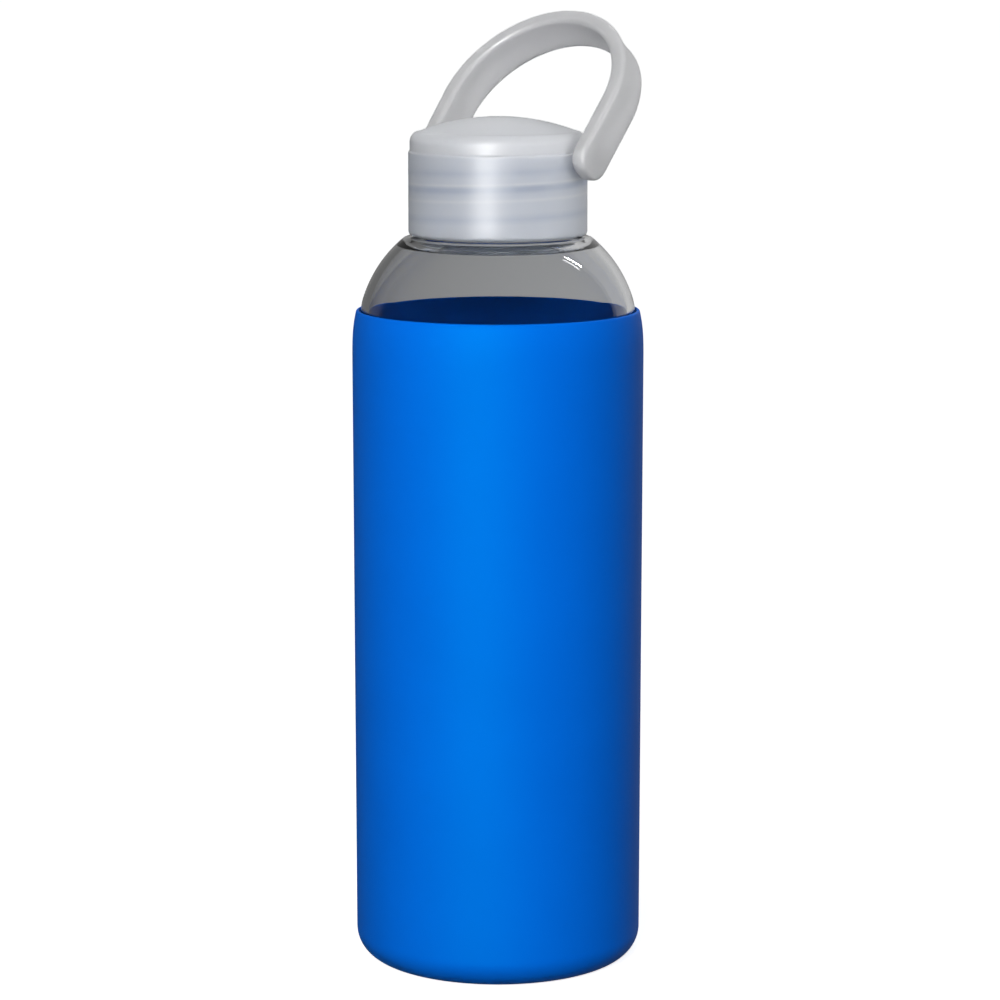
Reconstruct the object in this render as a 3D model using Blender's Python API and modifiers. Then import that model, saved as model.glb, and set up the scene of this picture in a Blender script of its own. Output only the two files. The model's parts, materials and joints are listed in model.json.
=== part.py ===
"""Glass water bottle with a silicone sleeve, a screw lid and a swinging carry loop.

Metres, +Z up. The origin is the centre of the sleeve's flat underside and +Z is the bottle's axis.
The loop's pivot line is level, turned away from +X and set a little behind the axis, and the loop
leans back from upright.
"""

import math

import bmesh
import bpy
from mathutils import Matrix

MM = 0.001
SEGMENTS = 48

# Silicone sleeve
SLEEVE_R = 35.0 * MM
SLEEVE_FOOT_R = 34.7 * MM
SLEEVE_HEIGHT = 159.2 * MM
SLEEVE_WALL = 1.8 * MM
SLEEVE_FLOOR = 2.0 * MM
SLEEVE_CORNER = 7.2 * MM
LIP_LENGTH = 12.0 * MM
LIP_R = 34.1 * MM
LIP_ROUND = 0.4 * MM
LIP_SLOPE = -0.25

# Glass body
GAP = 0.3 * MM
BODY_R = SLEEVE_R - SLEEVE_WALL - GAP
BODY_WALL = 2.0 * MM
BASE_THICKNESS = 6.7 * MM
PUSH_UP = 2.4 * MM
FOOT_RING_R = 22.0 * MM
FLOOR_DIP_R = 12.0 * MM
HEEL_ROUND = 5.1 * MM
INNER_HEEL_ROUND = 6.0 * MM
SHOULDER_R = 30.7 * MM
SHOULDER_CENTRE_R = 3.1 * MM
SHOULDER_CENTRE_Z = 152.7 * MM
SHOULDER_START_Z = 162.0 * MM
STRAIGHT_END_Z = 154.0 * MM
SHOULDER_EDGE_R = 23.0 * MM
INNER_SHOULDER_R = 27.9 * MM
INNER_SHOULDER_CENTRE_R = 3.0 * MM
INNER_SHOULDER_CENTRE_Z = 152.0 * MM
INNER_SHOULDER_END = 55

# Neck finish
LEDGE_R = 21.6 * MM
LEDGE_Z = 176.7 * MM
NECK_R = 17.7 * MM
NECK_FILLET = 1.5 * MM
MOUTH_R = 15.7 * MM
MOUTH_FILLET = ((17.1 * MM, 176.4 * MM), (16.05 * MM, 177.2 * MM), (MOUTH_R, 178.9 * MM))
BEAD_R = 19.1 * MM
BEAD_Z = 180.3 * MM
BEAD_ROUND = 0.9 * MM
GLASS_TOP = 197.3 * MM

# Screw thread, shared by the glass and the lid
PITCH = 3.75 * MM
THREAD_START = 183.4 * MM
THREAD_BASE_WIDTH = 2.3 * MM
THREAD_CREST_WIDTH = 0.9 * MM
GLASS_THREAD_R = 19.0 * MM
GLASS_TURNS = 2.25
LID_THREAD_R = 18.3 * MM
LID_TURNS = 2.0
STEPS_PER_TURN = 32
THREAD_SINK = 0.5 * MM
RUN_OUT = 0.12
RUN_OUT_HEIGHT = 0.1

# Lid
LID_R = 21.4 * MM
LID_BAND_R = 21.05 * MM
LID_BOTTOM = 177.1 * MM
LID_STEP_Z = 197.3 * MM
LID_SIDE_TOP = 199.3 * MM
LID_APEX = 205.3 * MM
LID_DOME_R = 53.0 * MM
LID_CORNER = 2.7 * MM
LID_CORNER_START = 71
LID_STEP = 0.5 * MM
LID_EDGE_ROUND = 1.0 * MM
SKIRT_R = 19.6 * MM
SKIRT_CHAMFER = 0.5 * MM
PLATE_Z = 199.9 * MM
PLATE_RECESS_Z = 202.6 * MM
PLATE_RECESS_SLOPE = 1.0 * MM
SEAL_LIP_R = 12.7 * MM
SEAL_LIP_WALL = 1.3 * MM
SEAL_LIP_Z = 198.0 * MM

# Seal ring
GASKET_R = 19.2 * MM
GASKET_HOLE_R = 13.0 * MM
GASKET_THICKNESS = 2.0 * MM

# Carry loop and its pivots
LOOP_TURN = math.radians(38.5)
LOOP_LEAN = math.radians(41.3)
PIVOT_Z = 196.2 * MM
PIVOT_BACK = 5.5 * MM
BOSS_R = 2.4 * MM
BOSS_ROOT = 19.5 * MM
BOSS_END = 24.0 * MM
BORE_R = BOSS_R + 0.25 * MM
BORE_START = 19.8 * MM
BORE_END = BOSS_END + GAP
LOOP_INNER = 21.75 * MM
LOOP_ARCH_R = 22.2 * MM
LOOP_BAND = 3.7 * MM
LOOP_ARCH_Z = 14.7 * MM
LOOP_WIDTH = 10.4 * MM
LOOP_EDGE = 0.6 * MM
OVERSIZE = 2.0 * MM

BLUE = (0.0, 0.14, 0.74, 1.0)

# An outline drawn in XY is stood up: STAND_UP puts its Y along Z, FACE_ALONG_X its XY in YZ.
# ALONG_X lays a shape made along Z down along X.
ALONG_X = Matrix.Rotation(math.pi / 2, 4, "Y")
STAND_UP = Matrix.Rotation(math.pi / 2, 4, "X")
FACE_ALONG_X = Matrix.Rotation(math.pi / 2, 4, "Z") @ Matrix.Rotation(math.pi / 2, 4, "X")


def clear_scene():
    for old in list(bpy.data.objects):
        bpy.data.objects.remove(old, do_unlink=True)


def make_collections():
    """The object's own collection, and one for the shapes that only cut or join."""
    parts = bpy.data.collections.new("glass_water_bottle")
    guides = bpy.data.collections.new("guides")
    for made in (parts, guides):
        bpy.context.scene.collection.children.link(made)
    return parts, guides


def material(name, colour, roughness, transmission=0.0, ior=1.5):
    made = bpy.data.materials.new(name)
    made.use_nodes = True
    shader = made.node_tree.nodes["Principled BSDF"]
    shader.inputs["Base Color"].default_value = colour
    shader.inputs["Roughness"].default_value = roughness
    shader.inputs["Metallic"].default_value = 0.0
    shader.inputs["Transmission Weight"].default_value = transmission
    shader.inputs["IOR"].default_value = ior
    made.diffuse_color = colour
    return made


def arc(centre_r, centre_z, radius, start, end, steps):
    """Points of a round stretch, from one angle to another in degrees; 0 points outward and 90 up."""
    points = []
    for step in range(steps + 1):
        angle = math.radians(start + (end - start) * step / steps)
        points.append((centre_r + radius * math.cos(angle), centre_z + radius * math.sin(angle)))
    return points


def ease(start, end, start_slope, end_slope, steps):
    """Points of a smooth stretch between two (r, z) ends, with the slope dr/dz given at each."""
    height = end[1] - start[1]
    points = []
    for step in range(1, steps):
        t = step / steps
        r = (
            (2 * t**3 - 3 * t**2 + 1) * start[0]
            + (t**3 - 2 * t**2 + t) * height * start_slope
            + (3 * t**2 - 2 * t**3) * end[0]
            + (t**3 - t**2) * height * end_slope
        )
        points.append((r, start[1] + t * height))
    return points


def turned(name, outline, closed=False):
    """A solid of revolution about Z from (r, z) points that run down its outer side."""
    mesh = bpy.data.meshes.new(name)
    count = len(outline)
    edges = [(index, index + 1) for index in range(count - 1)]
    if closed:
        edges.append((count - 1, 0))
    mesh.from_pydata([(r, 0.0, z) for r, z in outline], edges, [])
    made = bpy.data.objects.new(name, mesh)
    screw = made.modifiers.new("turn", "SCREW")
    screw.steps = SEGMENTS
    screw.render_steps = SEGMENTS
    screw.use_merge_vertices = True
    screw.merge_threshold = 0.00001
    return made


def thread_ridge(name, root_r, crest_r, start_z, start_angle, turns):
    """A right-hand helical ridge on a wall of radius root_r, fading in and out at its two ends.

    It is a loft of one trapezium, because no primitive or modifier makes a ridge that fades out.
    """
    outward = 1.0 if crest_r > root_r else -1.0
    steps = int(turns * STEPS_PER_TURN)
    shape = bmesh.new()
    rings = []
    for step in range(steps + 1):
        along = step / steps
        from_end = min(along, 1.0 - along)
        height = min(1.0, RUN_OUT_HEIGHT + from_end / RUN_OUT)
        angle = start_angle + 2.0 * math.pi * turns * along
        z = start_z + PITCH * turns * along
        crest = root_r + (crest_r - root_r) * height
        base = root_r - outward * THREAD_SINK
        corners = (
            (base, -THREAD_BASE_WIDTH / 2),
            (root_r, -THREAD_BASE_WIDTH / 2),
            (crest, -THREAD_CREST_WIDTH / 2),
            (crest, THREAD_CREST_WIDTH / 2),
            (root_r, THREAD_BASE_WIDTH / 2),
            (base, THREAD_BASE_WIDTH / 2),
        )
        rings.append(
            [shape.verts.new((r * math.cos(angle), r * math.sin(angle), z + dz)) for r, dz in corners]
        )
    for before, after in zip(rings, rings[1:]):
        for index in range(len(before)):
            following = (index + 1) % len(before)
            shape.faces.new((before[index], before[following], after[following], after[index]))
    shape.faces.new(rings[0])
    shape.faces.new(rings[-1])
    bmesh.ops.recalc_face_normals(shape, faces=shape.faces)
    mesh = bpy.data.meshes.new(name)
    shape.to_mesh(mesh)
    shape.free()
    return bpy.data.objects.new(name, mesh)


def slab(name, outline, half_thickness):
    """A flat outline in XY with a thickness along Z, as a closed mesh."""
    curve = bpy.data.curves.new(name, "CURVE")
    curve.dimensions = "2D"
    curve.fill_mode = "BOTH"
    curve.extrude = half_thickness
    spline = curve.splines.new("POLY")
    spline.points.add(len(outline) - 1)
    for point, (x, y) in zip(spline.points, outline):
        point.co = (x, y, 0.0, 1.0)
    spline.use_cyclic_u = True
    flat = bpy.data.objects.new(name + "_outline", curve)
    bpy.context.scene.collection.objects.link(flat)
    bpy.context.view_layer.update()
    graph = bpy.context.evaluated_depsgraph_get()
    mesh = bpy.data.meshes.new_from_object(flat.evaluated_get(graph))
    bpy.data.objects.remove(flat, do_unlink=True)
    shape = bmesh.new()
    shape.from_mesh(mesh)
    bmesh.ops.remove_doubles(shape, verts=shape.verts, dist=0.000001)
    bmesh.ops.recalc_face_normals(shape, faces=shape.faces)
    shape.to_mesh(mesh)
    shape.free()
    return bpy.data.objects.new(name, mesh)


def pegs_along_x(name, radius, start, end, segments=24):
    """Two round pegs on the X axis, from start to end on its positive side and mirrored on the other."""
    shape = bmesh.new()
    for side in (1, -1):
        middle = Matrix.Translation((side * (start + end) / 2, 0.0, 0.0))
        bmesh.ops.create_cone(
            shape,
            cap_ends=True,
            segments=segments,
            radius1=radius,
            radius2=radius,
            depth=end - start,
            matrix=middle @ ALONG_X,
        )
    mesh = bpy.data.meshes.new(name)
    shape.to_mesh(mesh)
    shape.free()
    return bpy.data.objects.new(name, mesh)


def as_guide(made, guides, parent=None):
    """Keeps a cutting or joining shape out of the render."""
    guides.objects.link(made)
    made.hide_render = True
    made.display_type = "WIRE"
    made.parent = parent
    return made


def combine(target, tool, operation):
    change = target.modifiers.new(tool.name, "BOOLEAN")
    change.operation = operation
    change.solver = "EXACT"
    change.object = tool


def as_part(made, parts, surface, parent=None):
    parts.objects.link(made)
    made.data.materials.append(surface)
    made.parent = parent
    return made


def sleeve_outline():
    inner_r = SLEEVE_R - SLEEVE_WALL
    inner_corner = SLEEVE_CORNER - SLEEVE_WALL
    points = [(0.0, SLEEVE_FLOOR)]
    points += arc(inner_r - inner_corner, SLEEVE_FLOOR + inner_corner, inner_corner, -90, 0, 4)
    points += [(inner_r, SLEEVE_HEIGHT - LIP_LENGTH), (inner_r, SLEEVE_HEIGHT - LIP_ROUND)]
    points += arc(LIP_R - LIP_ROUND, SLEEVE_HEIGHT - LIP_ROUND, LIP_ROUND, 90, 10, 3)
    lip_start = (SLEEVE_R, SLEEVE_HEIGHT - LIP_LENGTH)
    points += ease((LIP_R, SLEEVE_HEIGHT - LIP_ROUND), lip_start, LIP_SLOPE, 0.0, 4)
    points += [lip_start]
    points += arc(SLEEVE_FOOT_R - SLEEVE_CORNER, SLEEVE_CORNER, SLEEVE_CORNER, 0, -90, 5)
    points += [(0.0, 0.0)]
    return points


def on_circle(centre_r, centre_z, radius, r):
    """Height of the upper half of a circle at distance r from the bottle's axis."""
    return centre_z + math.sqrt(radius**2 - (r - centre_r) ** 2)


def glass_inside():
    """From the middle of the floor up the inside to the mouth."""
    floor_z = SLEEVE_FLOOR + GAP + BASE_THICKNESS
    inner_r = BODY_R - BODY_WALL
    points = [(0.0, floor_z + PUSH_UP / 2), (FLOOR_DIP_R, floor_z + PUSH_UP / 4)]
    points += arc(inner_r - INNER_HEEL_ROUND, floor_z + INNER_HEEL_ROUND, INNER_HEEL_ROUND, -90, 0, 4)
    points += arc(
        INNER_SHOULDER_CENTRE_R, INNER_SHOULDER_CENTRE_Z, INNER_SHOULDER_R, 0, INNER_SHOULDER_END, 7
    )
    points += MOUTH_FILLET
    return points


def glass_lip():
    lip = (NECK_R - MOUTH_R) / 2
    return arc(MOUTH_R + lip, GLASS_TOP - lip, lip, 180, 0, 6)


def glass_outside():
    """From the threaded neck down the outside to the middle of the base."""
    shoulder_z = on_circle(SHOULDER_CENTRE_R, SHOULDER_CENTRE_Z, SHOULDER_R, SHOULDER_EDGE_R)
    start_angle = math.degrees(math.asin((shoulder_z - SHOULDER_CENTRE_Z) / SHOULDER_R))
    end_angle = math.degrees(math.asin((SHOULDER_START_Z - SHOULDER_CENTRE_Z) / SHOULDER_R))
    base_z = SLEEVE_FLOOR + GAP
    points = [(NECK_R, BEAD_Z + 1.5 * BEAD_ROUND)]
    points += arc(BEAD_R - BEAD_ROUND, BEAD_Z, BEAD_ROUND, 90, -90, 4)
    points += arc(NECK_R + NECK_FILLET, LEDGE_Z + NECK_FILLET, NECK_FILLET, 180, 270, 3)
    points += [(LEDGE_R, LEDGE_Z)]
    shoulder = arc(SHOULDER_CENTRE_R, SHOULDER_CENTRE_Z, SHOULDER_R, start_angle, end_angle, 7)
    points += shoulder
    slope = -math.tan(math.radians(end_angle))
    points += ease(shoulder[-1], (BODY_R, STRAIGHT_END_Z), slope, 0.0, 4)
    points += [(BODY_R, STRAIGHT_END_Z)]
    points += arc(BODY_R - HEEL_ROUND, base_z + HEEL_ROUND, HEEL_ROUND, 0, -90, 5)
    points += [(FOOT_RING_R, base_z)]
    points += [(FOOT_RING_R * 0.8, base_z + PUSH_UP * 0.45), (FOOT_RING_R * 0.45, base_z + PUSH_UP * 0.9)]
    points += [(0.0, base_z + PUSH_UP)]
    return points


def build_sleeve(parts):
    surface = material("silicone_blue", BLUE, 0.55)
    as_part(turned("silicone_sleeve", sleeve_outline()), parts, surface)


def build_glass(parts, guides):
    surface = material("clear_glass", (0.85, 0.87, 0.88, 1.0), 0.02, transmission=1.0, ior=1.52)
    glass = turned("glass_bottle", glass_inside() + glass_lip() + glass_outside())
    as_part(glass, parts, surface)
    ridge = thread_ridge("glass_thread", NECK_R, GLASS_THREAD_R, THREAD_START, 0.0, GLASS_TURNS)
    combine(glass, as_guide(ridge, guides), "UNION")


def lid_outline():
    corner_r = LID_BAND_R - LID_CORNER
    dome_edge_r = corner_r + LID_CORNER * math.cos(math.radians(LID_CORNER_START))
    dome_centre_z = LID_APEX - LID_DOME_R
    points = [(0.0, LID_APEX)]
    for part in (0.35, 0.7):
        r = dome_edge_r * part
        points.append((r, on_circle(0.0, dome_centre_z, LID_DOME_R, r)))
    points += arc(corner_r, LID_SIDE_TOP, LID_CORNER, LID_CORNER_START, 0, 5)
    points += [(LID_BAND_R, LID_STEP_Z), (LID_R, LID_STEP_Z - LID_STEP)]
    points += arc(LID_R - LID_EDGE_ROUND, LID_BOTTOM + LID_EDGE_ROUND, LID_EDGE_ROUND, 0, -90, 3)
    points += [(SKIRT_R + SKIRT_CHAMFER, LID_BOTTOM), (SKIRT_R, LID_BOTTOM + SKIRT_CHAMFER)]
    points += [(SKIRT_R, PLATE_Z), (SEAL_LIP_R, PLATE_Z), (SEAL_LIP_R, SEAL_LIP_Z)]
    seal_lip_inner = SEAL_LIP_R - SEAL_LIP_WALL
    points += [(seal_lip_inner, SEAL_LIP_Z), (seal_lip_inner, PLATE_RECESS_Z - PLATE_RECESS_SLOPE)]
    points += [(0.0, PLATE_RECESS_Z)]
    return points


def build_lid(parts, guides, lid_axis):
    surface = material("frosted_polypropylene", (0.80, 0.83, 0.87, 1.0), 0.35, transmission=0.3)
    lid = as_part(turned("lid_cap", lid_outline()), parts, surface, lid_axis)
    ridge = thread_ridge(
        "lid_thread", SKIRT_R, LID_THREAD_R, THREAD_START + PITCH / 2, LOOP_TURN, LID_TURNS
    )
    combine(lid, as_guide(ridge, guides, lid_axis), "UNION")
    bosses = pegs_along_x("bosses", BOSS_R, BOSS_ROOT, BOSS_END)
    bosses.location = (0.0, PIVOT_BACK, PIVOT_Z)
    combine(lid, as_guide(bosses, guides, lid_axis), "UNION")


def build_gasket(parts, lid_axis):
    surface = material("seal_silicone", (0.88, 0.89, 0.90, 1.0), 0.6)
    top = PLATE_Z - GAP
    outline = [
        (GASKET_R, top),
        (GASKET_R, top - GASKET_THICKNESS),
        (GASKET_HOLE_R, top - GASKET_THICKNESS),
        (GASKET_HOLE_R, top),
    ]
    as_part(turned("lid_gasket", outline, closed=True), parts, surface, lid_axis)


def arch_side(inner_r, foot_r, steps):
    """Half of a stirrup's outline in XZ: from the foot up one side and over to the other foot."""
    foot_z = -LOOP_WIDTH / 2 - OVERSIZE
    return [(foot_r, foot_z)] + arc(0.0, LOOP_ARCH_Z, inner_r, 0, 180, steps) + [(-foot_r, foot_z)]


def leg_profile():
    """The loop seen along its pivots, as (y, z): a straight band with a round end about the pivot."""
    top = LOOP_ARCH_Z + LOOP_ARCH_R + LOOP_BAND + OVERSIZE
    half = LOOP_WIDTH / 2
    return [(half, top), (-half, top)] + arc(0.0, 0.0, half, 180, 360, 14)


def build_loop(parts, guides, pivot):
    surface = material("frosted_polypropylene_loop", (0.74, 0.75, 0.77, 1.0), 0.35, transmission=0.3)
    outline = arch_side(LOOP_ARCH_R + LOOP_BAND, LOOP_INNER + LOOP_BAND, 28)
    outline += reversed(arch_side(LOOP_ARCH_R, LOOP_INNER, 28))
    loop = as_part(slab("carry_loop", outline, LOOP_WIDTH), parts, surface, pivot)
    loop.data.transform(STAND_UP)
    profile = slab("leg_profile", leg_profile(), LOOP_INNER + LOOP_BAND + OVERSIZE)
    profile.data.transform(FACE_ALONG_X)
    combine(loop, as_guide(profile, guides, pivot), "INTERSECT")
    soften = loop.modifiers.new("soft_edges", "BEVEL")
    soften.width = LOOP_EDGE
    soften.segments = 1
    soften.limit_method = "ANGLE"
    soften.angle_limit = math.radians(50)
    bores = pegs_along_x("bores", BORE_R, BORE_START, BORE_END)
    combine(loop, as_guide(bores, guides, pivot), "DIFFERENCE")


def empty(name, parts, location, rotation, parent=None):
    made = bpy.data.objects.new(name, None)
    parts.objects.link(made)
    made.parent = parent
    made.location = location
    made.rotation_euler = rotation
    return made


def build_bottle():
    clear_scene()
    parts, guides = make_collections()
    lid_axis = empty("lid_axis", parts, (0.0, 0.0, 0.0), (0.0, 0.0, -LOOP_TURN))
    pivot = empty("loop_pivot", parts, (0.0, PIVOT_BACK, PIVOT_Z), (-LOOP_LEAN, 0.0, 0.0), lid_axis)
    build_sleeve(parts)
    build_glass(parts, guides)
    build_lid(parts, guides, lid_axis)
    build_gasket(parts, lid_axis)
    build_loop(parts, guides, pivot)


build_bottle()
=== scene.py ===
import json
import math

import bmesh
import bpy
import numpy as np
from mathutils import Matrix, Vector


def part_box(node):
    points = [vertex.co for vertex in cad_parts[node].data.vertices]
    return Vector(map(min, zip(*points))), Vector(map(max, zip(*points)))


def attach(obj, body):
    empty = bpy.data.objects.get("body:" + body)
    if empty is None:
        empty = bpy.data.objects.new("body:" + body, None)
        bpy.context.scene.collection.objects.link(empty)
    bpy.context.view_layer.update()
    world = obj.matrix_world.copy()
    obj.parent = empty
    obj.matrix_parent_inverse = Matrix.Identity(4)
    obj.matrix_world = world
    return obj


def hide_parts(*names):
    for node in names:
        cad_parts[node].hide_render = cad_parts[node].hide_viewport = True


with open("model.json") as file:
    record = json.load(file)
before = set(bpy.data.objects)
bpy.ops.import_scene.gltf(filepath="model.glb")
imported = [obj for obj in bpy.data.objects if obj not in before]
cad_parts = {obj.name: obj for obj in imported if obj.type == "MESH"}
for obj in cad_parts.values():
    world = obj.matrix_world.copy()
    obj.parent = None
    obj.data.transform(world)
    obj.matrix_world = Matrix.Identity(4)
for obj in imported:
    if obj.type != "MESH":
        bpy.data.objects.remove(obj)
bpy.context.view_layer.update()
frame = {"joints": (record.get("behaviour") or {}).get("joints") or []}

MM = 0.001
TURN_STEPS = 192


# ---------------------------------------------------------------- the frame, in millimetres

def low_high(node):
    """A CAD node's lowest and highest corners, in millimetres."""
    low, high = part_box(node)
    return low / MM, high / MM


def joint(name):
    return next(found for found in frame["joints"] if found["name"] == name)


SLEEVE_HIGH = low_high("silicone_sleeve")[1]
GLASS_LOW, GLASS_HIGH = low_high("glass_bottle")
LID_LOW, LID_HIGH = low_high("lid_cap")
GASKET_LOW, GASKET_HIGH = low_high("lid_gasket")
PIVOT = Vector(joint("loop_swing")["pos_m"])
SWING_AXIS = joint("loop_swing")["axis"]

# ---------------------------------------------------------------- sizes, in millimetres

SLEEVE_R = SLEEVE_HIGH.x
SLEEVE_TOP = SLEEVE_HIGH.z
SLEEVE_WALL = 1.8
SLEEVE_FLOOR = 2.0
SLEEVE_TAPER = 0.3
SLEEVE_CORNER = 7.2
LIP_LENGTH = 12.0
LIP_IN = 0.9
LIP_ROUND = 0.55
LIP_EDGE_ROUND = 0.35
LIP_EDGE_DROP = 0.8
SLEEVE_WALL_START = 12.0

GAP = 0.3
GLASS_BASE = GLASS_LOW.z
GLASS_TOP = GLASS_HIGH.z
BODY_R = SLEEVE_R - SLEEVE_WALL - GAP
BODY_WALL = 1.8
SHOULDER_R = 30.7
SHOULDER_CENTRE = (3.1, 152.7)
SHOULDER_START_Z = 162.0
STRAIGHT_END_Z = 154.0
FLOOR_Z = GLASS_BASE + 6.7
PUSH_UP = 2.4
NECK_R = 17.7
MOUTH_R = 15.7
BEAD_R = 19.1
BEAD_Z = 180.3
LEDGE_Z = 176.7
LEDGE_R = 21.7
SHOULDER_TOP_R = 22.6
SHOULDER_INNER_END = 47.0
HEEL_R = 5.1
FLOOR_CORNER = 6.0
FLOOR_DISH_R = 12.0
GLASS_WALL_START = 18.0
FOOT_RING_R = 22.0
PUSH_UP_R = 16.0
MOUTH_CURVE_Z = 176.6
NECK_FOOT_Z = 178.6
BEAD_HALF = 0.75
BEAD_REACH = 1.4

PITCH = 3.75
THREAD_START = 183.4
# The lid thread's painted shadows and painted bright lines: the helix's height at the front in millimetres,
# and the shade there, below 1 a painted shadow and above 1 a painted bright line.
RIDGE_SHADE_AND_LIGHT = (
    (177.0, 1.0), (180.9, 1.0), (182.3, 0.86), (183.7, 1.0), (186.0, 1.0), (186.6, 1.10), (187.2, 1.0),
    (188.2, 0.94), (189.0, 0.76), (189.6, 0.76), (190.1, 0.96), (190.4, 1.12), (190.9, 1.0), (192.0, 0.97),
    (193.2, 0.84), (194.4, 0.97), (195.4, 1.0), (200.0, 1.0),
)
# Heights in metres over which the skirt's painted shade fades out below the plain band.
SKIRT_SHADE_FADE = (0.1962, 0.1975)
GLASS_THREAD_R = 19.0
GLASS_TURNS = 2.25
LID_THREAD_R = 18.3
LID_TURNS = 2.0
THREAD_BASE = 2.3
THREAD_CREST = 0.9
THREAD_FADE = 0.12

PLAIN_SPACING = 8.0
THREAD_SPACING = 0.16
SIDE_SPACING = 1.5

LID_R = 21.4
LID_BAND_R = 21.05
LID_BOTTOM = LID_LOW.z
LID_APEX = LID_HIGH.z
LID_STEP_Z = 197.3
LID_CORNER = 2.7
LID_SIDE_TOP = 199.3
DOME_R = 53.0
SKIRT_R = 19.6
PLATE_Z = GASKET_HIGH.z + GAP
SEAL_LIP_R = 12.7
SEAL_LIP_WALL = 1.3
SEAL_LIP_Z = 198.0
GATE_R = 1.1
GATE_DISH = 0.25
LID_CORNER_START = 71
LID_STEP_DROP = 1.0
LID_FOOT_ROUND = 1.0
SKIRT_TOP_DROP = 0.9
BOSS_R = 2.4
BOSS_ROOT = 19.5
BOSS_END = 24.0
GASKET_HOLE_R = 13.0
SEAM_WIDTH = 0.35
SEAM_HEIGHT = 0.07

LOOP_FOOT_R = 21.75
LOOP_FOOT_Z = -7.2
LOOP_ARCH_R = 22.2
LOOP_ARCH_Z = 14.7
LOOP_BAND = 3.7
LOOP_WIDTH = 10.4
LOOP_EDGE = 1.1
LOOP_DISH = 0.3
LOOP_LEAN = math.radians(41.3)
LOOP_TURN = math.atan2(SWING_AXIS[1], -SWING_AXIS[0])
BORE_R = BOSS_R + 0.25
BORE_START = 19.8
BORE_END = BOSS_END + GAP


# ---------------------------------------------------------------- shapes

def arc(centre_r, centre_z, radius, start, end, steps):
    """Points of a round stretch, from one angle to another in degrees; 0 points outward and 90 up."""
    angles = np.radians(np.linspace(start, end, steps + 1))
    return [(centre_r + radius * math.cos(a), centre_z + radius * math.sin(a)) for a in angles]


def filleted(points, steps=6):
    """An outline whose corners given as (r, z, radius) are rounded; plain (r, z) points stay."""
    outline = []
    for index, point in enumerate(points):
        if len(point) == 2:
            outline.append(point)
            continue
        here = np.array(point[:2])
        before = np.array(points[index - 1][:2]) - here
        after = np.array(points[(index + 1) % len(points)][:2]) - here
        room = min(np.linalg.norm(before), np.linalg.norm(after))
        before /= np.linalg.norm(before)
        after /= np.linalg.norm(after)
        half = math.acos(max(-1.0, min(1.0, float(before @ after)))) / 2
        reach = min(point[2] / math.tan(half), 0.98 * room)
        radius = reach * math.tan(half)
        centre = here + (before + after) / np.linalg.norm(before + after) * radius / math.sin(half)
        first = here + before * reach - centre
        last = here + after * reach - centre
        sweep = math.pi - 2 * half
        for step in range(steps + 1):
            t = step / steps
            mixed = (math.sin((1 - t) * sweep) * first + math.sin(t * sweep) * last) / math.sin(sweep)
            outline.append(tuple(centre + mixed))
    return outline


def ease(start, end, start_slope, end_slope, steps):
    """Points of a smooth stretch between two (r, z) ends, with the slope dr/dz given at each."""
    height = end[1] - start[1]
    points = []
    for t in np.linspace(0.0, 1.0, steps + 1)[1:-1]:
        r = (
            (2 * t**3 - 3 * t**2 + 1) * start[0]
            + (t**3 - 2 * t**2 + t) * height * start_slope
            + (3 * t**2 - 2 * t**3) * end[0]
            + (t**3 - t**2) * height * end_slope
        )
        points.append((r, start[1] + t * height))
    return points


def dense(start, end, spacing):
    """Points along a straight stretch, end left out, for a wall that carries relief."""
    start, end = np.array(start), np.array(end)
    steps = max(1, int(np.linalg.norm(end - start) / spacing))
    return [tuple(start + (end - start) * step / steps) for step in range(steps)]


def mesh_object(name, verts, faces):
    mesh = bpy.data.meshes.new(name)
    mesh.from_pydata(verts, [], faces)
    mesh.validate()
    mesh.update()
    made = bpy.data.objects.new(name, mesh)
    bpy.context.scene.collection.objects.link(made)
    return made


def lathe(name, outline, relief=None, closed=False, steps=TURN_STEPS):
    """A turned solid from (r, z) points in millimetres that run down its outer side.

    relief(angles, r, z) gives the extra radius around the wall at that point of the outline.
    """
    angles = 2 * math.pi * np.arange(steps) / steps
    verts, rows = [], []
    for r, z in outline:
        if r < 1e-6:
            rows.append([len(verts)])
            verts.append((0.0, 0.0, z * MM))
            continue
        radii = np.full(steps, r)
        if relief is not None:
            radii = radii + relief(angles, r, z)
        rows.append(list(range(len(verts), len(verts) + steps)))
        verts += [
            (radius * math.cos(a) * MM, radius * math.sin(a) * MM, z * MM)
            for radius, a in zip(radii, angles)
        ]
    pairs = list(zip(rows, rows[1:]))
    if closed:
        pairs.append((rows[-1], rows[0]))
    faces = []
    for above, below in pairs:
        for j in range(steps):
            k = (j + 1) % steps
            corners = [
                above[j % len(above)], below[j % len(below)], below[k % len(below)], above[k % len(above)],
            ]
            face = list(dict.fromkeys(corners))
            if len(face) > 2:
                faces.append(face)
    return mesh_object(name, verts, faces)


def thread_relief(angles, z, start_z, start_angle, turns, height):
    """Height of a right-hand thread's ridge around one level of a wall, with eased flanks and ends."""
    relief = np.zeros(len(angles))
    base, crest = THREAD_BASE / 2, THREAD_CREST / 2
    for lap in range(-1, int(turns) + 2):
        along = (angles - start_angle) % (2 * math.pi) / (2 * math.pi) + lap
        inside = (along >= 0.0) & (along <= turns)
        away = np.abs(z - start_z - PITCH * along)
        flank = np.clip((base - away) / (base - crest), 0.0, 1.0)
        flank = flank * flank * (3 - 2 * flank)
        ends = np.clip(np.minimum(along, turns - along) / (THREAD_FADE * turns), 0.0, 1.0)
        ends = ends * ends * (3 - 2 * ends)
        relief = np.maximum(relief, np.where(inside, flank * ends, 0.0))
    return relief * height


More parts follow.
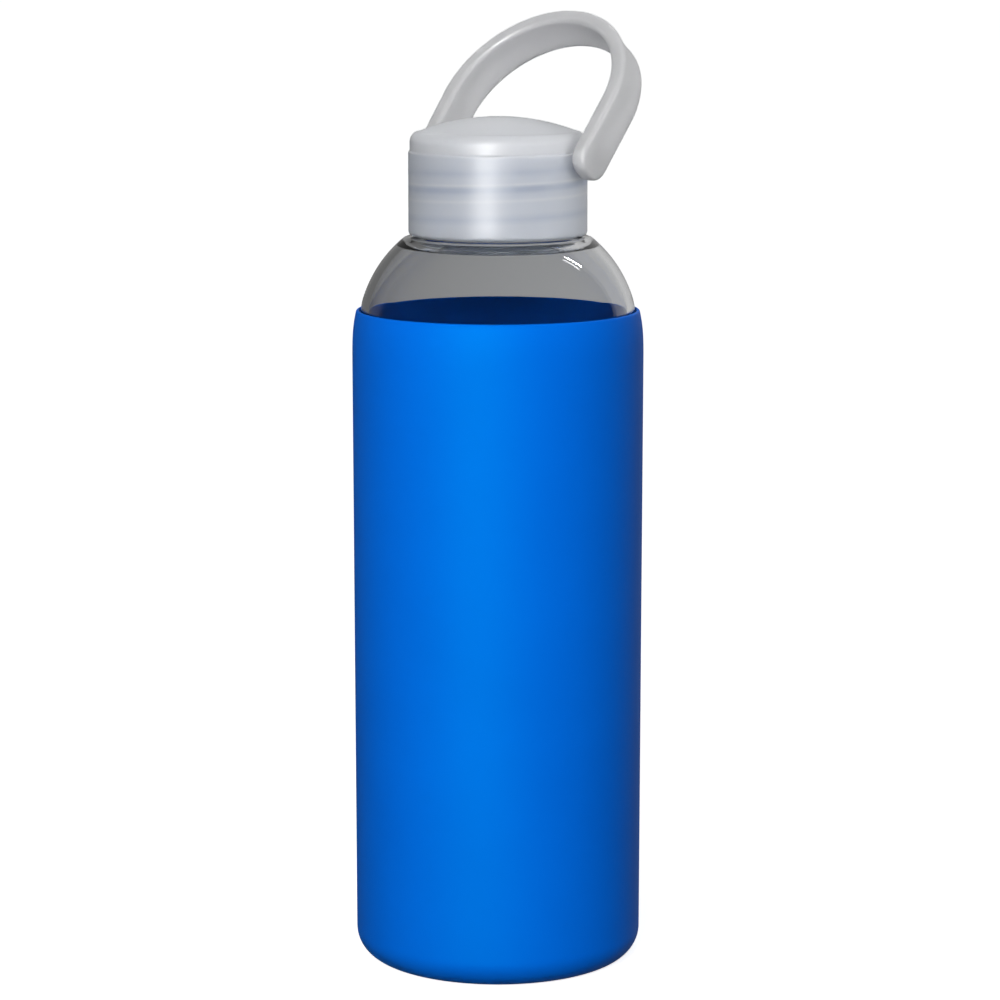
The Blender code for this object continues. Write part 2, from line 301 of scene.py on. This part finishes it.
def cut_or_join(target, tool, operation):
    """Applies one exact Boolean to the target and removes the tool."""
    change = target.modifiers.new("change", "BOOLEAN")
    change.operation = operation
    change.solver = "EXACT"
    change.object = tool
    bpy.context.view_layer.update()
    graph = bpy.context.evaluated_depsgraph_get()
    mesh = bpy.data.meshes.new_from_object(target.evaluated_get(graph))
    target.modifiers.clear()
    target.data = mesh
    bpy.data.objects.remove(tool, do_unlink=True)


def peg(name, radius, start, end, edge, frame_matrix):
    """A round peg along X with softened ends, in millimetres, placed by a matrix in metres."""
    outline = filleted([(0.0, end), (radius, end, edge), (radius, start, edge), (0.0, start)])
    made = lathe(name, outline, steps=48)
    made.data.transform(frame_matrix @ Matrix.Rotation(math.pi / 2, 4, "Y"))
    return made


def smooth(obj, angle=40.0):
    """Smooth shading, with edges kept sharp where faces meet at more than the angle."""
    mesh = obj.data
    mesh.shade_smooth()
    mesh.set_sharp_from_angle(angle=math.radians(angle))
    return obj


def finished(obj, body, node, surface, angle=40.0):
    smooth(obj, angle)
    obj.data.materials.clear()
    obj.data.materials.append(surface)
    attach(obj, body)
    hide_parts(node)
    return obj


# ---------------------------------------------------------------- materials

class Surface:
    """A material with short calls for the nodes it needs."""

    def __init__(self, name):
        self.material = bpy.data.materials.new(name)
        self.material.use_nodes = True
        self.tree = self.material.node_tree
        self.shader = self.tree.nodes["Principled BSDF"]
        self.place = self.add("ShaderNodeTexCoord").outputs["Object"]

    def add(self, kind, **values):
        node = self.tree.nodes.new(kind)
        for key, value in values.items():
            setattr(node, key, value)
        return node

    def link(self, output, target):
        self.tree.links.new(output, target)

    def set(self, **values):
        for key, value in values.items():
            self.shader.inputs[key.replace("_", " ")].default_value = value

    def noise(self, scale, detail=2.0, roughness=0.5, stretch=(1.0, 1.0, 1.0)):
        """Noise over the object's own coordinates; scale is in features per metre."""
        mapping = self.add("ShaderNodeMapping")
        mapping.inputs["Scale"].default_value = stretch
        self.link(self.place, mapping.inputs["Vector"])
        node = self.add("ShaderNodeTexNoise")
        node.inputs["Scale"].default_value = scale
        node.inputs["Detail"].default_value = detail
        node.inputs["Roughness"].default_value = roughness
        self.link(mapping.outputs["Vector"], node.inputs["Vector"])
        return node.outputs["Fac"]

    def between(self, factor, low, high, start=0.0, end=1.0):
        """A number that follows the factor, from low at start to high at end."""
        node = self.add("ShaderNodeMapRange")
        node.inputs["From Min"].default_value = start
        node.inputs["From Max"].default_value = end
        node.inputs["To Min"].default_value = low
        node.inputs["To Max"].default_value = high
        self.link(factor, node.inputs["Value"])
        return node.outputs["Result"]

    def tint(self, factor, stops):
        """A colour ramp from (position, colour) stops."""
        node = self.add("ShaderNodeValToRGB")
        ramp = node.color_ramp
        while len(ramp.elements) < len(stops):
            ramp.elements.new(0.5)
        for element, (position, colour) in zip(ramp.elements, stops):
            element.position = position
            element.color = (*colour, 1.0)
        self.link(factor, node.inputs["Fac"])
        return node.outputs["Color"]

    def math(self, operation, first, second=0.0):
        """One step of arithmetic on outputs or numbers."""
        node = self.add("ShaderNodeMath", operation=operation)
        for socket, value in zip(node.inputs, (first, second)):
            if isinstance(value, float):
                socket.default_value = value
            else:
                self.link(value, socket)
        return node.outputs["Value"]

    def blend(self, mode, factor, first, second):
        """Mixes two colour outputs, or an output and a plain colour, in the given mode."""
        node = self.add("ShaderNodeMix", data_type="RGBA", blend_type=mode)
        for name, value in (("Factor_Float", factor), ("A_Color", first), ("B_Color", second)):
            socket = next(found for found in node.inputs if found.identifier == name)
            if isinstance(value, (float, tuple)):
                socket.default_value = value
            else:
                self.link(value, socket)
        return next(found for found in node.outputs if found.identifier == "Result_Color")

    def bump(self, *layers):
        """Stacked relief from (height output, distance in metres, strength)."""
        last = None
        for height, distance, strength in layers:
            node = self.add("ShaderNodeBump")
            node.inputs["Distance"].default_value = distance
            node.inputs["Strength"].default_value = strength
            self.link(height, node.inputs["Height"])
            if last is not None:
                self.link(last, node.inputs["Normal"])
            last = node.outputs["Normal"]
        self.link(last, self.shader.inputs["Normal"])


def silicone_blue():
    """Soft matte silicone: fine tooth, faint cloudiness in the pigment and a soft highlight."""
    surface = Surface("silicone_blue")
    cloud = surface.noise(35.0, detail=3.0)
    surface.link(
        surface.tint(cloud, [(0.3, (0.0002, 0.150, 0.83)), (0.7, (0.0003, 0.160, 0.87))]),
        surface.shader.inputs["Base Color"],
    )
    tooth = surface.noise(5200.0, detail=2.0)
    surface.link(surface.between(tooth, 0.58, 0.70, 0.3, 0.7), surface.shader.inputs["Roughness"])
    surface.bump((surface.noise(900.0), 0.00004, 0.12), (tooth, 0.00002, 0.25))
    surface.set(IOR=1.42, Specular_IOR_Level=0.5, Specular_Tint=(0.0, 0.8, 1.0, 1.0))
    return surface.material


def clear_glass():
    """Clear soda-lime glass with the faint waviness of a blown bottle."""
    surface = Surface("clear_glass")
    surface.bump((surface.noise(60.0, detail=1.0, stretch=(1.0, 1.0, 0.35)), 0.0004, 0.10))
    haze = surface.noise(400.0, detail=3.0)
    surface.link(surface.between(haze, 0.0, 0.02, 0.4, 0.8), surface.shader.inputs["Roughness"])
    surface.set(Base_Color=(0.93, 0.94, 0.95, 1.0), IOR=1.5, Transmission_Weight=1.0)
    return surface.material


def frosted_plastic(name, colour, roughness, clarity):
    """Natural polypropylene: milky, with a fine spark-eroded grain and slow flow marks."""
    surface = Surface(name)
    flow = surface.noise(28.0, detail=4.0, stretch=(1.0, 1.0, 0.4))
    darker = tuple(0.95 * part for part in colour)
    surface.colour = surface.tint(flow, [(0.35, darker), (0.65, colour)])
    surface.link(surface.colour, surface.shader.inputs["Base Color"])
    grain = surface.noise(2600.0, detail=2.0)
    surface.link(
        surface.between(grain, roughness - 0.04, roughness + 0.04, 0.3, 0.7),
        surface.shader.inputs["Roughness"],
    )
    surface.bump((surface.noise(240.0, detail=2.0), 0.00005, 0.12), (grain, 0.00001, 0.10))
    surface.set(IOR=1.49, Transmission_Weight=clarity)
    surface.set(Subsurface_Weight=1.0, Subsurface_Radius=(1.0, 1.0, 1.0), Subsurface_Scale=0.002)
    return surface


def frosted_lid():
    """The lid's plastic, with painted shadows and painted bright lines of the thread's ridges, and painted
    shade that darkens the skirt below the plain band.

    The shadows are a helix about the axis, zero turns at the front. They fade out near the back, where
    the helix's two ends would meet with a jump.
    """
    surface = frosted_plastic("frosted_lid", (0.88, 0.895, 0.93), 0.44, 0.4)
    apart = surface.add("ShaderNodeSeparateXYZ")
    surface.link(surface.place, apart.inputs["Vector"])
    x, y, z = apart.outputs
    behind = surface.math("MULTIPLY", y, -1.0)
    turns = surface.math("DIVIDE", surface.math("ARCTAN2", x, behind), 2 * math.pi)
    height = surface.math("SUBTRACT", z, surface.math("MULTIPLY", turns, PITCH * MM))
    low, high = RIDGE_SHADE_AND_LIGHT[0][0] * MM, RIDGE_SHADE_AND_LIGHT[-1][0] * MM
    span = high - low
    stops = [
        ((level * MM - low) / span, (shade, shade + 0.15 * (1.0 - shade), shade + 0.4 * (1.0 - shade)))
        for level, shade in RIDGE_SHADE_AND_LIGHT
    ]
    # Painted shadows and painted bright lines of the thread's ridges, as a colour that multiplies the base
    # colour.
    ridges = surface.tint(surface.between(height, 0.0, 1.0, low, high), stops)
    apart_from_back = surface.between(surface.math("ABSOLUTE", turns), 1.0, 0.0, 0.40, 0.49)
    streaks = surface.between(surface.noise(90.0, detail=2.0, stretch=(1.0, 1.0, 0.6)), 0.55, 1.0, 0.35, 0.6)
    shown = surface.math("MULTIPLY", apart_from_back, streaks)
    # Painted shade: the skirt below the plain band is darkened, and above it, over the seal, the colour stays
    # as it is.
    skirt = surface.between(z, 1.0, 0.0, *SKIRT_SHADE_FADE)
    colour = surface.blend("MULTIPLY", skirt, surface.colour, (0.86, 0.88, 0.91, 1.0))
    colour = surface.blend("MULTIPLY", shown, colour, ridges)
    surface.link(colour, surface.shader.inputs["Base Color"])
    return surface.material


def frosted_loop():
    surface = frosted_plastic("frosted_loop", (0.75, 0.75, 0.76), 0.36, 0.4)
    surface.set(Subsurface_Scale=0.005)
    return surface.material


def seal_silicone():
    """Milky seal silicone."""
    surface = Surface("seal_silicone")
    tooth = surface.noise(3500.0)
    surface.link(
        surface.tint(tooth, [(0.3, (0.80, 0.82, 0.84)), (0.7, (0.86, 0.87, 0.88))]),
        surface.shader.inputs["Base Color"],
    )
    surface.link(surface.between(tooth, 0.45, 0.6, 0.3, 0.7), surface.shader.inputs["Roughness"])
    surface.bump((tooth, 0.00002, 0.3))
    surface.set(IOR=1.42)
    return surface.material


# ---------------------------------------------------------------- pieces

def sleeve_outline():
    inner_r = SLEEVE_R - SLEEVE_WALL
    inner_corner = SLEEVE_CORNER - SLEEVE_WALL
    foot_r = SLEEVE_R - SLEEVE_TAPER
    lip_r = SLEEVE_R - LIP_IN
    points = [(0.0, SLEEVE_FLOOR)]
    points += arc(inner_r - inner_corner, SLEEVE_FLOOR + inner_corner, inner_corner, -90, 0, 12)
    edge_start = SLEEVE_TOP - LIP_EDGE_DROP
    points += dense((inner_r, SLEEVE_WALL_START), (inner_r, edge_start), PLAIN_SPACING)
    points += filleted([(inner_r, edge_start), (inner_r, SLEEVE_TOP, LIP_EDGE_ROUND),
                        (lip_r - 0.5, SLEEVE_TOP)])[1:-1]
    points += arc(lip_r - LIP_ROUND, SLEEVE_TOP - LIP_ROUND, LIP_ROUND, 88, 14, 6)
    points += ease((lip_r, SLEEVE_TOP - LIP_ROUND), (SLEEVE_R, SLEEVE_TOP - LIP_LENGTH), -0.24, 0.0, 12)
    points += dense((SLEEVE_R, SLEEVE_TOP - LIP_LENGTH), (foot_r, SLEEVE_CORNER), PLAIN_SPACING)
    points += arc(foot_r - SLEEVE_CORNER, SLEEVE_CORNER, SLEEVE_CORNER, 0, -90, 18)
    points += [(0.0, 0.0)]
    return points


def build_sleeve():
    return finished(
        lathe("sleeve", sleeve_outline()),
        "bottle", "silicone_sleeve", silicone_blue(), 60.0,
    )


def shoulder_angle(radius, z):
    return math.degrees(math.asin((z - SHOULDER_CENTRE[1]) / radius))


def glass_inside():
    """From the middle of the floor up the inside to the mouth."""
    inner_r = BODY_R - BODY_WALL
    shoulder_r = SHOULDER_R - BODY_WALL
    start = shoulder_angle(shoulder_r, SHOULDER_START_Z)
    shoulder = arc(*SHOULDER_CENTRE, shoulder_r, start, SHOULDER_INNER_END, 24)
    corner_r = inner_r - FLOOR_CORNER
    points = filleted([
        (0.0, FLOOR_Z + PUSH_UP / 2), (FLOOR_DISH_R, FLOOR_Z + PUSH_UP / 3, 20.0), (corner_r, FLOOR_Z),
    ])[:-1]
    points += arc(corner_r, FLOOR_Z + FLOOR_CORNER, FLOOR_CORNER, -88, 0, 12)
    points += dense((inner_r, GLASS_WALL_START), (inner_r, STRAIGHT_END_Z), PLAIN_SPACING)
    points += [(inner_r, STRAIGHT_END_Z)]
    points += ease(points[-1], shoulder[0], 0.0, -math.tan(math.radians(start)), 10) + shoulder
    return points + filleted([
        shoulder[-1], (MOUTH_R + 0.05, MOUTH_CURVE_Z, 2.2), (MOUTH_R, GLASS_TOP - 2.0),
    ])[1:-1]


def glass_neck():
    """From the mouth's lip down the threaded neck to the shoulder's top edge."""
    lip = (NECK_R - MOUTH_R) / 2
    points = arc(MOUTH_R + lip, GLASS_TOP - lip, lip, 176, 4, 14)
    points += dense((NECK_R, GLASS_TOP - 1.6), (NECK_R, BEAD_Z + BEAD_REACH), THREAD_SPACING)
    points += filleted([
        (NECK_R, BEAD_Z + BEAD_REACH), (NECK_R, BEAD_Z + BEAD_HALF, 0.5), (BEAD_R, BEAD_Z + BEAD_HALF, 0.7),
        (BEAD_R, BEAD_Z - BEAD_HALF, 0.7), (NECK_R + 0.2, BEAD_Z - BEAD_REACH, 0.5), (NECK_R, NECK_FOOT_Z),
    ])[1:-1]
    return points


def glass_outline():
    edge_angle = math.degrees(math.acos((SHOULDER_TOP_R - SHOULDER_CENTRE[0]) / SHOULDER_R))
    end_angle = shoulder_angle(SHOULDER_R, SHOULDER_START_Z)
    shoulder = arc(*SHOULDER_CENTRE, SHOULDER_R, edge_angle, end_angle, 30)
    ledge = filleted([
        (NECK_R, NECK_FOOT_Z), (NECK_R + 0.1, LEDGE_Z, 1.6), (LEDGE_R, LEDGE_Z + 0.05, 0.9), shoulder[0],
    ])
    slope = -math.tan(math.radians(end_angle))
    body = ease(shoulder[-1], (BODY_R, STRAIGHT_END_Z), slope, 0.0, 10)
    body += dense((BODY_R, STRAIGHT_END_Z), (BODY_R, GLASS_BASE + HEEL_R), PLAIN_SPACING)
    heel = arc(BODY_R - HEEL_R, GLASS_BASE + HEEL_R, HEEL_R, 0, -90, 14)
    base = filleted([
        heel[-1], (FOOT_RING_R, GLASS_BASE, 2.0), (PUSH_UP_R, GLASS_BASE + PUSH_UP, 6.0),
        (0.0, GLASS_BASE + PUSH_UP),
    ])
    return glass_inside() + glass_neck() + ledge[1:] + shoulder[1:] + body + heel + base[1:]


def glass_relief(angles, r, z):
    if not (NECK_R - 0.01 < r < NECK_R + 0.01 and z > BEAD_Z + 1.0):
        return 0.0
    return thread_relief(angles, z, THREAD_START, 0.0, GLASS_TURNS, GLASS_THREAD_R - NECK_R)


def build_glass():
    return finished(
        lathe("bottle_glass", glass_outline(), glass_relief),
        "bottle", "glass_bottle", clear_glass(), 60.0,
    )


def lid_outline():
    corner_r = LID_BAND_R - LID_CORNER
    edge_r = corner_r + LID_CORNER * math.cos(math.radians(LID_CORNER_START))
    centre_z = LID_APEX - DOME_R
    dome = [
        (r, centre_z + math.sqrt(DOME_R**2 - r**2)) for r in np.linspace(GATE_R + 1.2, edge_r, 18)
    ]
    gate = filleted([
        (0.0, LID_APEX - GATE_DISH), (GATE_R - 0.35, LID_APEX - GATE_DISH, 0.12),
        (GATE_R - 0.25, LID_APEX, 0.1), (GATE_R + 0.1, LID_APEX - 0.02, 0.1),
        (GATE_R + 0.45, LID_APEX - 0.22, 0.25), dome[0],
    ])
    corner = arc(corner_r, LID_SIDE_TOP, LID_CORNER, LID_CORNER_START, 0, 12)[1:]
    side_top = LID_STEP_Z - LID_STEP_DROP
    step = filleted([
        corner[-1], (LID_BAND_R, LID_STEP_Z, 0.25), (LID_R, LID_STEP_Z - 0.4, 0.25), (LID_R, side_top),
    ])
    side = dense((LID_R, side_top), (LID_R, LID_BOTTOM + 1.1), SIDE_SPACING)
    foot = filleted([
        (LID_R, LID_BOTTOM + 1.1), (LID_R, LID_BOTTOM, LID_FOOT_ROUND), (SKIRT_R, LID_BOTTOM, 0.5),
        (SKIRT_R, LID_BOTTOM + 0.8),
    ])
    skirt_top = PLATE_Z - SKIRT_TOP_DROP
    inner = dense((SKIRT_R, LID_BOTTOM + 0.8), (SKIRT_R, skirt_top), THREAD_SPACING)
    lip_in = SEAL_LIP_R - SEAL_LIP_WALL
    under = filleted([
        (SKIRT_R, skirt_top), (SKIRT_R, PLATE_Z, 0.6), (SEAL_LIP_R, PLATE_Z, 0.25),
        (SEAL_LIP_R, SEAL_LIP_Z, 0.3), (lip_in, SEAL_LIP_Z, 0.3),
        (lip_in, PLATE_Z + 1.6, 0.6), (0.0, PLATE_Z + 2.6),
    ])
    return gate[:-1] + dome + corner[:-1] + step[:-1] + side + foot[1:-1] + inner + under[1:]


def lid_relief(angles, r, z):
    """The thread inside the skirt, and the two fine mould seams down the outside."""
    if r < SKIRT_R + 0.01:
        if r > SKIRT_R - 0.01 and z < PLATE_Z - 0.8:
            return -thread_relief(
                angles, z, THREAD_START + PITCH / 2, 0.0, LID_TURNS, SKIRT_R - LID_THREAD_R
            )
        return 0.0
    if r < LID_R - 0.01 or z < LID_BOTTOM + 1.0:
        return 0.0
    away = np.abs((angles + LOOP_TURN + math.pi / 2) % math.pi - math.pi / 2) * LID_R
    return SEAM_HEIGHT * np.clip(1.0 - away / SEAM_WIDTH, 0.0, 1.0)


def build_lid(surface):
    lid = lathe("lid", lid_outline(), lid_relief, steps=256)
    for side in (0.0, math.pi):
        place = Matrix.Translation(PIVOT) @ Matrix.Rotation(side - LOOP_TURN, 4, "Z")
        cut_or_join(lid, peg("boss", BOSS_R, BOSS_ROOT, BOSS_END, 0.35, place), "UNION")
    return finished(lid, "lid", "lid_cap", surface, 38.0)


def build_gasket():
    low, high = GASKET_LOW.z, GASKET_HIGH.z
    outer, inner = GASKET_HIGH.x, GASKET_HOLE_R
    outline = filleted([(outer, high, 0.3), (outer, low, 0.3), (inner, low, 0.3), (inner, high, 0.3)])
    return finished(
        lathe("seal_ring", outline, closed=True),
        "lid_slider", "lid_gasket", seal_silicone(),
    )


# ---------------------------------------------------------------- the loop

def half_width(height):
    """Half the band's width at a height above the pivots: even, down to a round end about the pivot."""
    full = LOOP_WIDTH / 2
    if height >= 0.0:
        return full
    return full * (1.0 - min(1.0, -height / full) ** 2.3) ** (1 / 2.3)


def loop_path():
    """Points (x, z, nx, nz) along the band's middle, foot to foot, with the outward direction."""
    middle_foot = LOOP_FOOT_R + LOOP_BAND / 2
    middle_arch = LOOP_ARCH_R + LOOP_BAND / 2
    heights = [-LOOP_WIDTH / 2 * math.cos(a) for a in np.linspace(0.05, math.pi / 2, 26)]
    heights += list(np.linspace(0.0, LOOP_ARCH_Z, 20))[1:]
    right = []
    for height in heights:
        t = (height - LOOP_FOOT_Z) / (LOOP_ARCH_Z - LOOP_FOOT_Z)
        right.append((middle_foot + (middle_arch - middle_foot) * t, height, 1.0, 0.0))
    arch = []
    for a in np.linspace(0.0, math.pi, 97)[1:-1]:
        across, up = math.cos(a), math.sin(a)
        arch.append((middle_arch * across, LOOP_ARCH_Z + middle_arch * up, across, up))
    left = [(-x, z, -nx, nz) for x, z, nx, nz in reversed(right)]
    return right + arch + left


def section(half_width, thickness, edge, dish):
    """The band's cut, as (outward, across) points: a rounded rectangle with dished broad faces."""
    half = thickness / 2
    edge = max(0.02, min(edge, 0.95 * half, 0.95 * half_width))
    points = []
    for out_side, across_side, start in ((1, 1, 0), (-1, 1, 90), (-1, -1, 180), (1, -1, 270)):
        for a in np.radians(np.linspace(start, start + 90, 8)):
            out = out_side * (half - edge) + edge * math.cos(a)
            points.append((out, across_side * (half_width - edge) + edge * math.sin(a)))
        if start in (90, 270):
            for t in np.linspace(-1.0, 1.0, 15)[1:-1]:
                out = out_side * (half - dish * (1 - t * t))
                points.append((out, -across_side * t * (half_width - edge)))
    return points


def build_loop(surface):
    verts, rows = [], []
    for x, z, nx, nz in loop_path():
        from_end = min(LOOP_EDGE, z + LOOP_WIDTH / 2)
        pinch = LOOP_EDGE - math.sqrt(LOOP_EDGE**2 - (LOOP_EDGE - from_end) ** 2)
        dish = LOOP_DISH * min(1.0, max(0.0, (z - 4.0) / 8.0))
        cut = section(half_width(z), LOOP_BAND - 2 * pinch, LOOP_EDGE, dish)
        rows.append(list(range(len(verts), len(verts) + len(cut))))
        verts += [((x + out * nx) * MM, across * MM, (z + out * nz) * MM) for out, across in cut]
    count = len(rows[0])
    faces = []
    for before, after in zip(rows, rows[1:]):
        for j in range(count):
            k = (j + 1) % count
            faces.append((before[j], before[k], after[k], after[j]))
    faces.append(tuple(reversed(rows[0])))
    faces.append(tuple(rows[-1]))
    loop = mesh_object("loop", verts, faces)
    shape = bmesh.new()
    shape.from_mesh(loop.data)
    bmesh.ops.recalc_face_normals(shape, faces=shape.faces)
    shape.to_mesh(loop.data)
    shape.free()
    for side in (0.0, math.pi):
        place = Matrix.Rotation(side, 4, "Z")
        cut_or_join(loop, peg("bore", BORE_R, BORE_START, BORE_END, 0.1, place), "DIFFERENCE")
    lean = Matrix.Rotation(-LOOP_LEAN, 4, "X")
    turn = Matrix.Rotation(-LOOP_TURN, 4, "Z")
    loop.data.transform(Matrix.Translation(PIVOT) @ turn @ lean)
    return finished(loop, "loop", "carry_loop", surface, 45.0)


# ---------------------------------------------------------------- stage, light and camera

LIGHT_TARGET_Z = 0.13
CAMERA_DISTANCE = 0.8651
CAMERA_TARGET_Z = 0.1128
CAMERA_PITCH = math.radians(9.2)
CAMERA_SIDE = 0.0005
FLOOR_SIZE = 60.0


def glow(name, base, stops, axis):
    """A matt, luminous material for the stage, whose glow runs along one axis of its card."""
    made = bpy.data.materials.new(name)
    made.use_nodes = True
    tree = made.node_tree
    shader = tree.nodes["Principled BSDF"]
    shader.inputs["Base Color"].default_value = (base, base, base, 1.0)
    shader.inputs["Roughness"].default_value = 0.9
    shader.inputs["Specular IOR Level"].default_value = 0.1
    shader.inputs["Emission Strength"].default_value = 1.0
    place = tree.nodes.new("ShaderNodeTexCoord")
    apart = tree.nodes.new("ShaderNodeSeparateXYZ")
    ramp = tree.nodes.new("ShaderNodeValToRGB")
    while len(ramp.color_ramp.elements) < len(stops):
        ramp.color_ramp.elements.new(0.5)
    for element, (position, level) in zip(ramp.color_ramp.elements, stops):
        element.position = position
        element.color = (level, level, level, 1.0)
    tree.links.new(place.outputs["Generated"], apart.inputs["Vector"])
    tree.links.new(apart.outputs[axis], ramp.inputs["Fac"])
    tree.links.new(ramp.outputs["Color"], shader.inputs["Emission Color"])
    return made


def card(name, size, location, rotation, surface):
    """A flat stage card; what it lights is set by its visibility."""
    bpy.ops.mesh.primitive_plane_add(size=1.0, location=location, rotation=rotation)
    made = bpy.context.object
    made.name = name
    made.scale = (size[0], size[1], 1.0)
    made.data.materials.append(surface)
    return made


def build_stage():
    """A pale floor, and a grey card, itself unseen, that shows through glass and plastic and in gloss."""
    floor_glow = glow("floor", 0.9, [(0.168, 0.86), (0.190, 1.0)], "Y")
    floor = card("floor", (FLOOR_SIZE, FLOOR_SIZE), (0.0, FLOOR_SIZE / 3, 0.0), (0.0, 0.0, 0.0), floor_glow)
    floor.visible_diffuse = False
    floor.visible_transmission = False
    floor.visible_glossy = False
    card_glow = glow("grey_card", 0.0, [(0.40, 0.14), (0.50, 0.35), (0.60, 0.54)], "X")
    behind = card("grey_card", (2.4, 2.4), (0.0, 0.6, 0.0), (math.pi / 2, 0.0, 0.0), card_glow)
    behind.visible_camera = False
    behind.visible_diffuse = False
    behind.visible_shadow = False
    return floor


def chosen(name, pieces):
    """A collection of the pieces that a light reaches, or that stop it."""
    made = bpy.data.collections.new(name)
    for piece in pieces:
        made.objects.link(piece)
    return made


def area_light(name, azimuth, elevation, distance, size, power, lit, hidden=("glossy",)):
    """A soft light around the bottle: azimuth 0 is the camera's side, and positive is to its right.

    It reaches only the lit pieces, and the kinds of ray named in hidden don't see it.
    """
    data = bpy.data.lights.new(name, "AREA")
    data.shape = "RECTANGLE"
    data.size, data.size_y = size
    data.energy = power
    made = bpy.data.objects.new(name, data)
    bpy.context.scene.collection.objects.link(made)
    turn, rise = math.radians(azimuth), math.radians(elevation)
    away = Vector((math.sin(turn) * math.cos(rise), -math.cos(turn) * math.cos(rise), math.sin(rise)))
    made.location = Vector((0.0, 0.0, LIGHT_TARGET_Z)) + away * distance
    made.rotation_euler = away.to_track_quat("Z", "Y").to_euler()
    made.visible_camera = False
    for kind in hidden:
        setattr(made, "visible_" + kind, False)
    made.light_linking.receiver_collection = chosen(name + "_lights", lit)
    return made


def build_light(solid, plastic, glass):
    """A tall soft key from the front left with weak fills, and a strip that gives the highlights.

    The sets are linked lights, not one physical rig. The glass doesn't stop the well, which stands in
    for daylight passing through it, and the back light glows through the plastic.
    """
    sleeve_only = solid[:1]
    area_light("key", -13.0, 20.0, 1.2, (0.30, 0.7), 9.2, solid + plastic)
    area_light("top", 0.0, 70.0, 1.2, (0.8, 0.8), 2.0, solid + plastic)
    well = area_light("well", 0.0, 24.0, 1.2, (0.5, 0.3), 2.8, solid + plastic)
    well.light_linking.blocker_collection = chosen("well_stoppers", solid + plastic)
    area_light("left_fill", -75.0, 15.0, 1.2, (0.5, 0.8), 0.9, solid + plastic)
    area_light("right_fill", 75.0, 15.0, 1.2, (0.5, 0.8), 7.0, plastic)
    area_light("right_rim", 70.0, 10.0, 1.2, (0.5, 0.8), 1.2, solid)
    area_light("rear_fill", 165.0, 20.0, 1.2, (0.9, 0.8), 7.0, sleeve_only)
    area_light(
        "strip", -15.6, 6.0, 1.2, (0.36, 0.9), 38.0, sleeve_only + plastic, ("diffuse", "transmission")
    )
    area_light("back", 180.0, 35.0, 0.8, (1.2, 0.6), 9.5, plastic, ("glossy", "transmission"))
    area_light("glint", 112.0, 46.0, 1.0, (0.03, 0.2), 1.0, glass, ())
    world = bpy.data.worlds.new("studio")
    bpy.context.scene.world = world
    world.use_nodes = True
    background = world.node_tree.nodes["Background"]
    background.inputs["Color"].default_value = (0.035, 0.04, 0.045, 1.0)
    background.inputs["Strength"].default_value = 1.0
    world.cycles_visibility.glossy = False


def build_camera():
    """The camera looks down a little on the bottle's axis, from the photographed distance."""
    data = bpy.data.cameras.new("camera")
    data.sensor_width = 36.0
    data.lens = 128.67
    camera = bpy.data.objects.new("camera", data)
    bpy.context.scene.collection.objects.link(camera)
    back = CAMERA_DISTANCE * math.cos(CAMERA_PITCH)
    height = CAMERA_TARGET_Z + CAMERA_DISTANCE * math.sin(CAMERA_PITCH)
    camera.location = (CAMERA_SIDE, -back, height)
    camera.rotation_euler = (math.pi / 2 - CAMERA_PITCH, 0.0, 0.0)
    bpy.context.scene.camera = camera
    bpy.context.scene.view_settings.view_transform = "Standard"


build_camera()
floor = build_stage()
sleeve = build_sleeve()
glass = build_glass()
lid = build_lid(frosted_lid())
seal = build_gasket()
loop = build_loop(frosted_loop())
build_light([sleeve, floor], [lid, seal, loop], [glass])
